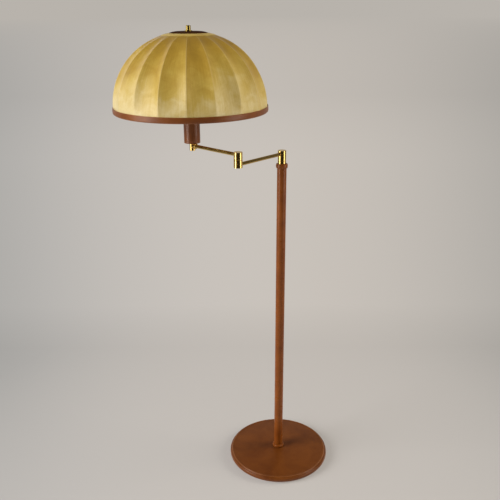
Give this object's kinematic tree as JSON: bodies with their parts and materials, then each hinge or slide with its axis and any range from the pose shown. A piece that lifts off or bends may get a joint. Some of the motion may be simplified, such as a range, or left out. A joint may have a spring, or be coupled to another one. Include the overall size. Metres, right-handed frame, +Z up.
{
  "type": "swing arm floor lamp",
  "caption": "Floor lamp with a leather-covered round base and pole, a jointed brass swing arm that turns at the pole and elbow, and a domed panelled parchment shade with leather trim.",
  "frame": {"origin": "centre of the felt underside of the base, on the pole axis, where the lamp stands on the floor", "axes": "+Z up along the pole, +X to the right and +Y to the rear of the lamp as it is shown"},
  "size_m": [0.6245, 0.4252, 1.3651],
  "materials": {
    "brown_leather": "smooth reddish brown leather",
    "parchment": "mottled yellow parchment",
    "polished_brass": "polished",
    "cast_iron": "rough casting",
    "felt": "dark green felt",
    "grommet_rubber": "matt",
    "plated_steel": "zinc plated",
    "bronze_washer": "dull bronze",
    "black_moulding": "satin",
    "bulb_cap_metal": "plain",
    "bulb_glass": "frosted"
  },
  "bodies": {
    "stand": {"base_weight": "cast_iron", "base_cover": "brown_leather", "base_felt": "felt", "cord_grommet": "grommet_rubber", "foot_plug": "plated_steel", "foot_washer": "plated_steel", "foot_nut": "plated_steel", "base_collar": "brown_leather", "pole_tube": "plated_steel", "pole_leather": "brown_leather", "top_collar": "brown_leather", "pole_neck": "polished_brass", "shoulder_pin": "plated_steel", "shoulder_washer": "bronze_washer", "shoulder_nut": "plated_steel"},
    "lower_arm": {"shoulder_hub": "polished_brass", "shoulder_cap": "polished_brass", "lower_arm_tube": "polished_brass", "elbow_lower_hub": "polished_brass", "elbow_lower_cap": "polished_brass", "elbow_pin": "plated_steel", "elbow_nut": "plated_steel"},
    "upper_arm": {"elbow_washer": "bronze_washer", "elbow_upper_hub": "polished_brass", "elbow_upper_cap": "polished_brass", "upper_arm_tube": "polished_brass", "arm_ferrule": "polished_brass", "end_post": "polished_brass", "holder_nipple": "plated_steel", "socket_cup": "polished_brass", "cup_leather": "brown_leather", "lampholder_body": "black_moulding", "lampholder_sleeve": "polished_brass", "lampholder_contact": "polished_brass", "harp_ring": "plated_steel", "lampholder_ring": "black_moulding", "harp_wire": "plated_steel", "harp_stud": "polished_brass", "bulb_cap": "bulb_cap_metal", "bulb_glass": "bulb_glass", "finial_washer": "polished_brass", "finial": "polished_brass"},
    "shade": {"shade_top_ring": "plated_steel", "shade_ribs": "plated_steel", "shade_bottom_ring": "plated_steel", "shade_panels": "parchment", "shade_top_band": "parchment", "shade_rim_band": "brown_leather", "shade_cap": "brown_leather"}
  },
  "joints": [
    {"name": "shoulder_swing", "type": "hinge", "parent": "stand", "child": "lower_arm", "pos_m": [0, 0, 1.0195], "axis": [0, 0, 1], "range_deg": [-170, 170]},
    {"name": "elbow_swing", "type": "hinge", "parent": "lower_arm", "child": "upper_arm", "pos_m": [-0.12208, -0.13091, 1.0326], "axis": [0, 0, 1], "range_deg": [-80, 260]},
    {"name": "shade_turn", "type": "hinge", "parent": "upper_arm", "child": "shade", "pos_m": [-0.25192, -0.0077, 1.3431], "axis": [0, 0, 1], "continuous": true}
  ]
}
